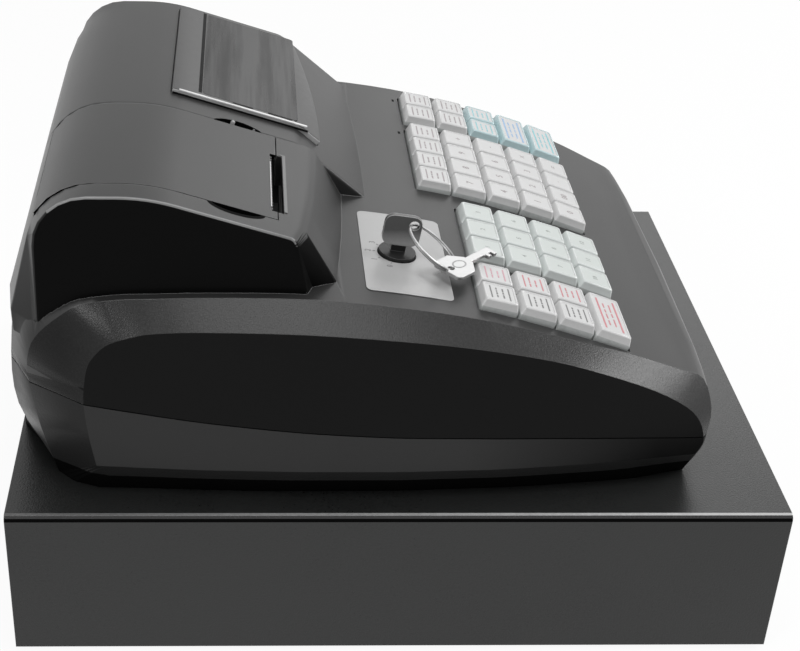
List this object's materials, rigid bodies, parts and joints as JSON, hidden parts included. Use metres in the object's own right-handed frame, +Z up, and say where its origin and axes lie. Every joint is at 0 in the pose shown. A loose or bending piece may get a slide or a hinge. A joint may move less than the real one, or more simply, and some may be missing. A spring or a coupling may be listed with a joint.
{
  "type": "ticket_register",
  "caption": "Charcoal electronic till with a hooded receipt printer, sloped display, sprung keyboard and mode key on a steel cash drawer",
  "frame": {"origin": "centre of the drawer box's footprint, at the underside of its feet", "axes": "+X to the operator's right, -Y towards the operator, +Z up"},
  "size_m": [0.33, 0.39, 0.2451],
  "materials": {
    "painted_steel": "fine-textured charcoal powder coat",
    "tray_plastic": "moulded black tray plastic",
    "lock_metal": "plated lock barrel",
    "charcoal_plastic": "satin charcoal moulding with a fine grain",
    "smoked_window": "glossy smoked display window",
    "chassis_metal": "bare printer chassis",
    "platen_rubber": "ground black rubber",
    "paper": "plain white paper roll",
    "dark_key_metal": "dark key and lock plug",
    "bright_key_metal": "bright nickel-plated key and ring",
    "key_cap": "light grey translucent caps over printed legends"
  },
  "bodies": {
    "register": {"drawer_housing": "painted_steel", "lower_case": "charcoal_plastic", "upper_case": "charcoal_plastic", "display_window": "smoked_window", "print_mechanism": "chassis_metal"},
    "printer_cover": {"printer_cover": "charcoal_plastic"},
    "paper_roll": {"paper_roll": "paper"},
    "platen_roller": {"platen_roller": "platen_rubber"},
    "drawer": {"drawer": "painted_steel", "coin_tray": "tray_plastic"},
    "drawer_lock": {"drawer_lock": "lock_metal"},
    "mode_key": {"mode_key": "dark_key_metal", "spare_key": "bright_key_metal"},
    "key_a11": {"key_a11": "key_cap"},
    "key_a12": {"key_a12": "key_cap"},
    "key_a21": {"key_a21": "key_cap"},
    "key_a22": {"key_a22": "key_cap"},
    "key_a31": {"key_a31": "key_cap"},
    "key_a32": {"key_a32": "key_cap"},
    "key_a41": {"key_a41": "key_cap"},
    "key_a51": {"key_a51": "key_cap"},
    "key_b11": {"key_b11": "key_cap"},
    "key_b12": {"key_b12": "key_cap"},
    "key_b13": {"key_b13": "key_cap"},
    "key_b14": {"key_b14": "key_cap"},
    "key_b21": {"key_b21": "key_cap"},
    "key_b22": {"key_b22": "key_cap"},
    "key_b23": {"key_b23": "key_cap"},
    "key_b24": {"key_b24": "key_cap"},
    "key_b31": {"key_b31": "key_cap"},
    "key_b32": {"key_b32": "key_cap"},
    "key_b33": {"key_b33": "key_cap"},
    "key_b34": {"key_b34": "key_cap"},
    "key_b41": {"key_b41": "key_cap"},
    "key_b42": {"key_b42": "key_cap"},
    "key_b43": {"key_b43": "key_cap"},
    "key_b44": {"key_b44": "key_cap"},
    "key_b51": {"key_b51": "key_cap"},
    "key_b52": {"key_b52": "key_cap"},
    "key_b53": {"key_b53": "key_cap"},
    "key_b54": {"key_b54": "key_cap"},
    "key_c21": {"key_c21": "key_cap"},
    "key_c22": {"key_c22": "key_cap"},
    "key_c23": {"key_c23": "key_cap"},
    "key_c31": {"key_c31": "key_cap"},
    "key_c32": {"key_c32": "key_cap"},
    "key_c33": {"key_c33": "key_cap"},
    "key_c41": {"key_c41": "key_cap"},
    "key_c42": {"key_c42": "key_cap"},
    "key_c43": {"key_c43": "key_cap"},
    "key_c51": {"key_c51": "key_cap"},
    "key_c52": {"key_c52": "key_cap"},
    "key_c53": {"key_c53": "key_cap"},
    "key_d21": {"key_d21": "key_cap"},
    "key_d22": {"key_d22": "key_cap"},
    "key_d31": {"key_d31": "key_cap"},
    "key_d32": {"key_d32": "key_cap"},
    "key_d41": {"key_d41": "key_cap"},
    "key_d42": {"key_d42": "key_cap"},
    "key_d51": {"key_d51": "key_cap"}
  },
  "joints": [
    {"name": "cover_hinge", "type": "hinge", "parent": "register", "child": "printer_cover", "pos_m": [-0.076, 0.1735, 0.2294], "axis": [-1, 0, 0], "range_deg": [0, 75]},
    {"name": "drawer_slide", "type": "slide", "parent": "register", "child": "drawer", "axis": [0, -1, 0], "range_m": [0, 0.29]},
    {"name": "drawer_lock_turn", "type": "hinge", "parent": "drawer", "child": "drawer_lock", "pos_m": [0, -0.195, 0.06], "axis": [0, 1, 0], "range_deg": [0, 90]},
    {"name": "mode_key_turn", "type": "hinge", "parent": "register", "child": "mode_key", "pos_m": [-0.0817, 0.0011, 0.18951], "axis": [0, -0.1478, 0.989], "range_deg": [-40, 50]},
    {"name": "paper_roll_spin", "type": "hinge", "parent": "register", "child": "paper_roll", "pos_m": [-0.076, 0.131, 0.2115], "axis": [-1, 0, 0], "continuous": true},
    {"name": "platen_spin", "type": "hinge", "parent": "register", "child": "platen_roller", "pos_m": [-0.076, 0.075, 0.209], "axis": [-1, 0, 0], "continuous": true},
    {"name": "key_a11_press", "type": "slide", "parent": "register", "child": "key_a11", "axis": [0, 0.2026, -0.9793], "range_m": [0, 0.003], "stiffness_N_per_m": 180, "springref_m": -0.001},
    {"name": "key_a12_press", "type": "slide", "parent": "register", "child": "key_a12", "axis": [0, 0.2026, -0.9793], "range_m": [0, 0.003], "stiffness_N_per_m": 180, "springref_m": -0.001},
    {"name": "key_a21_press", "type": "slide", "parent": "register", "child": "key_a21", "axis": [0, 0.2416, -0.9704], "range_m": [0, 0.003], "stiffness_N_per_m": 180, "springref_m": -0.001},
    {"name": "key_a22_press", "type": "slide", "parent": "register", "child": "key_a22", "axis": [0, 0.2416, -0.9704], "range_m": [0, 0.003], "stiffness_N_per_m": 180, "springref_m": -0.001},
    {"name": "key_a31_press", "type": "slide", "parent": "register", "child": "key_a31", "axis": [0, 0.2802, -0.9599], "range_m": [0, 0.003], "stiffness_N_per_m": 180, "springref_m": -0.001},
    {"name": "key_a32_press", "type": "slide", "parent": "register", "child": "key_a32", "axis": [0, 0.2802, -0.9599], "range_m": [0, 0.003], "stiffness_N_per_m": 180, "springref_m": -0.001},
    {"name": "key_a41_press", "type": "slide", "parent": "register", "child": "key_a41", "axis": [0, 0.3184, -0.948], "range_m": [0, 0.003], "stiffness_N_per_m": 180, "springref_m": -0.001},
    {"name": "key_a51_press", "type": "slide", "parent": "register", "child": "key_a51", "axis": [0, 0.356, -0.9345], "range_m": [0, 0.003], "stiffness_N_per_m": 180, "springref_m": -0.001},
    {"name": "key_b11_press", "type": "slide", "parent": "register", "child": "key_b11", "axis": [0, 0.2026, -0.9793], "range_m": [0, 0.003], "stiffness_N_per_m": 180, "springref_m": -0.001},
    {"name": "key_b12_press", "type": "slide", "parent": "register", "child": "key_b12", "axis": [0, 0.2026, -0.9793], "range_m": [0, 0.003], "stiffness_N_per_m": 180, "springref_m": -0.001},
    {"name": "key_b13_press", "type": "slide", "parent": "register", "child": "key_b13", "axis": [0, 0.2026, -0.9793], "range_m": [0, 0.003], "stiffness_N_per_m": 180, "springref_m": -0.001},
    {"name": "key_b14_press", "type": "slide", "parent": "register", "child": "key_b14", "axis": [0, 0.2026, -0.9793], "range_m": [0, 0.003], "stiffness_N_per_m": 180, "springref_m": -0.001},
    {"name": "key_b21_press", "type": "slide", "parent": "register", "child": "key_b21", "axis": [0, 0.2416, -0.9704], "range_m": [0, 0.003], "stiffness_N_per_m": 180, "springref_m": -0.001},
    {"name": "key_b22_press", "type": "slide", "parent": "register", "child": "key_b22", "axis": [0, 0.2416, -0.9704], "range_m": [0, 0.003], "stiffness_N_per_m": 180, "springref_m": -0.001},
    {"name": "key_b23_press", "type": "slide", "parent": "register", "child": "key_b23", "axis": [0, 0.2416, -0.9704], "range_m": [0, 0.003], "stiffness_N_per_m": 180, "springref_m": -0.001},
    {"name": "key_b24_press", "type": "slide", "parent": "register", "child": "key_b24", "axis": [0, 0.2416, -0.9704], "range_m": [0, 0.003], "stiffness_N_per_m": 180, "springref_m": -0.001},
    {"name": "key_b31_press", "type": "slide", "parent": "register", "child": "key_b31", "axis": [0, 0.2802, -0.9599], "range_m": [0, 0.003], "stiffness_N_per_m": 180, "springref_m": -0.001},
    {"name": "key_b32_press", "type": "slide", "parent": "register", "child": "key_b32", "axis": [0, 0.2802, -0.9599], "range_m": [0, 0.003], "stiffness_N_per_m": 180, "springref_m": -0.001},
    {"name": "key_b33_press", "type": "slide", "parent": "register", "child": "key_b33", "axis": [0, 0.2802, -0.9599], "range_m": [0, 0.003], "stiffness_N_per_m": 180, "springref_m": -0.001},
    {"name": "key_b34_press", "type": "slide", "parent": "register", "child": "key_b34", "axis": [0, 0.2802, -0.9599], "range_m": [0, 0.003], "stiffness_N_per_m": 180, "springref_m": -0.001},
    {"name": "key_b41_press", "type": "slide", "parent": "register", "child": "key_b41", "axis": [0, 0.3184, -0.948], "range_m": [0, 0.003], "stiffness_N_per_m": 180, "springref_m": -0.001},
    {"name": "key_b42_press", "type": "slide", "parent": "register", "child": "key_b42", "axis": [0, 0.3184, -0.948], "range_m": [0, 0.003], "stiffness_N_per_m": 180, "springref_m": -0.001},
    {"name": "key_b43_press", "type": "slide", "parent": "register", "child": "key_b43", "axis": [0, 0.3184, -0.948], "range_m": [0, 0.003], "stiffness_N_per_m": 180, "springref_m": -0.001},
    {"name": "key_b44_press", "type": "slide", "parent": "register", "child": "key_b44", "axis": [0, 0.3184, -0.948], "range_m": [0, 0.003], "stiffness_N_per_m": 180, "springref_m": -0.001},
    {"name": "key_b51_press", "type": "slide", "parent": "register", "child": "key_b51", "axis": [0, 0.356, -0.9345], "range_m": [0, 0.003], "stiffness_N_per_m": 180, "springref_m": -0.001},
    {"name": "key_b52_press", "type": "slide", "parent": "register", "child": "key_b52", "axis": [0, 0.356, -0.9345], "range_m": [0, 0.003], "stiffness_N_per_m": 180, "springref_m": -0.001},
    {"name": "key_b53_press", "type": "slide", "parent": "register", "child": "key_b53", "axis": [0, 0.356, -0.9345], "range_m": [0, 0.003], "stiffness_N_per_m": 180, "springref_m": -0.001},
    {"name": "key_b54_press", "type": "slide", "parent": "register", "child": "key_b54", "axis": [0, 0.356, -0.9345], "range_m": [0, 0.003], "stiffness_N_per_m": 180, "springref_m": -0.001},
    {"name": "key_c21_press", "type": "slide", "parent": "register", "child": "key_c21", "axis": [0, 0.2416, -0.9704], "range_m": [0, 0.003], "stiffness_N_per_m": 180, "springref_m": -0.001},
    {"name": "key_c22_press", "type": "slide", "parent": "register", "child": "key_c22", "axis": [0, 0.2416, -0.9704], "range_m": [0, 0.003], "stiffness_N_per_m": 180, "springref_m": -0.001},
    {"name": "key_c23_press", "type": "slide", "parent": "register", "child": "key_c23", "axis": [0, 0.2416, -0.9704], "range_m": [0, 0.003], "stiffness_N_per_m": 180, "springref_m": -0.001},
    {"name": "key_c31_press", "type": "slide", "parent": "register", "child": "key_c31", "axis": [0, 0.2802, -0.9599], "range_m": [0, 0.003], "stiffness_N_per_m": 180, "springref_m": -0.001},
    {"name": "key_c32_press", "type": "slide", "parent": "register", "child": "key_c32", "axis": [0, 0.2802, -0.9599], "range_m": [0, 0.003], "stiffness_N_per_m": 180, "springref_m": -0.001},
    {"name": "key_c33_press", "type": "slide", "parent": "register", "child": "key_c33", "axis": [0, 0.2802, -0.9599], "range_m": [0, 0.003], "stiffness_N_per_m": 180, "springref_m": -0.001},
    {"name": "key_c41_press", "type": "slide", "parent": "register", "child": "key_c41", "axis": [0, 0.3184, -0.948], "range_m": [0, 0.003], "stiffness_N_per_m": 180, "springref_m": -0.001},
    {"name": "key_c42_press", "type": "slide", "parent": "register", "child": "key_c42", "axis": [0, 0.3184, -0.948], "range_m": [0, 0.003], "stiffness_N_per_m": 180, "springref_m": -0.001},
    {"name": "key_c43_press", "type": "slide", "parent": "register", "child": "key_c43", "axis": [0, 0.3184, -0.948], "range_m": [0, 0.003], "stiffness_N_per_m": 180, "springref_m": -0.001},
    {"name": "key_c51_press", "type": "slide", "parent": "register", "child": "key_c51", "axis": [0, 0.356, -0.9345], "range_m": [0, 0.003], "stiffness_N_per_m": 180, "springref_m": -0.001},
    {"name": "key_c52_press", "type": "slide", "parent": "register", "child": "key_c52", "axis": [0, 0.356, -0.9345], "range_m": [0, 0.003], "stiffness_N_per_m": 180, "springref_m": -0.001},
    {"name": "key_c53_press", "type": "slide", "parent": "register", "child": "key_c53", "axis": [0, 0.356, -0.9345], "range_m": [0, 0.003], "stiffness_N_per_m": 180, "springref_m": -0.001},
    {"name": "key_d21_press", "type": "slide", "parent": "register", "child": "key_d21", "axis": [0, 0.2416, -0.9704], "range_m": [0, 0.003], "stiffness_N_per_m": 180, "springref_m": -0.001},
    {"name": "key_d22_press", "type": "slide", "parent": "register", "child": "key_d22", "axis": [0, 0.2416, -0.9704], "range_m": [0, 0.003], "stiffness_N_per_m": 180, "springref_m": -0.001},
    {"name": "key_d31_press", "type": "slide", "parent": "register", "child": "key_d31", "axis": [0, 0.2802, -0.9599], "range_m": [0, 0.003], "stiffness_N_per_m": 180, "springref_m": -0.001},
    {"name": "key_d32_press", "type": "slide", "parent": "register", "child": "key_d32", "axis": [0, 0.2802, -0.9599], "range_m": [0, 0.003], "stiffness_N_per_m": 180, "springref_m": -0.001},
    {"name": "key_d41_press", "type": "slide", "parent": "register", "child": "key_d41", "axis": [0, 0.3184, -0.948], "range_m": [0, 0.003], "stiffness_N_per_m": 180, "springref_m": -0.001},
    {"name": "key_d42_press", "type": "slide", "parent": "register", "child": "key_d42", "axis": [0, 0.3184, -0.948], "range_m": [0, 0.003], "stiffness_N_per_m": 180, "springref_m": -0.001},
    {"name": "key_d51_press", "type": "slide", "parent": "register", "child": "key_d51", "axis": [0, 0.356, -0.9345], "range_m": [0, 0.003], "stiffness_N_per_m": 180, "springref_m": -0.001}
  ],
  "couplings": [
    {"joint": "platen_spin", "follows": "paper_roll_spin", "ratio": 4.4828}
  ]
}
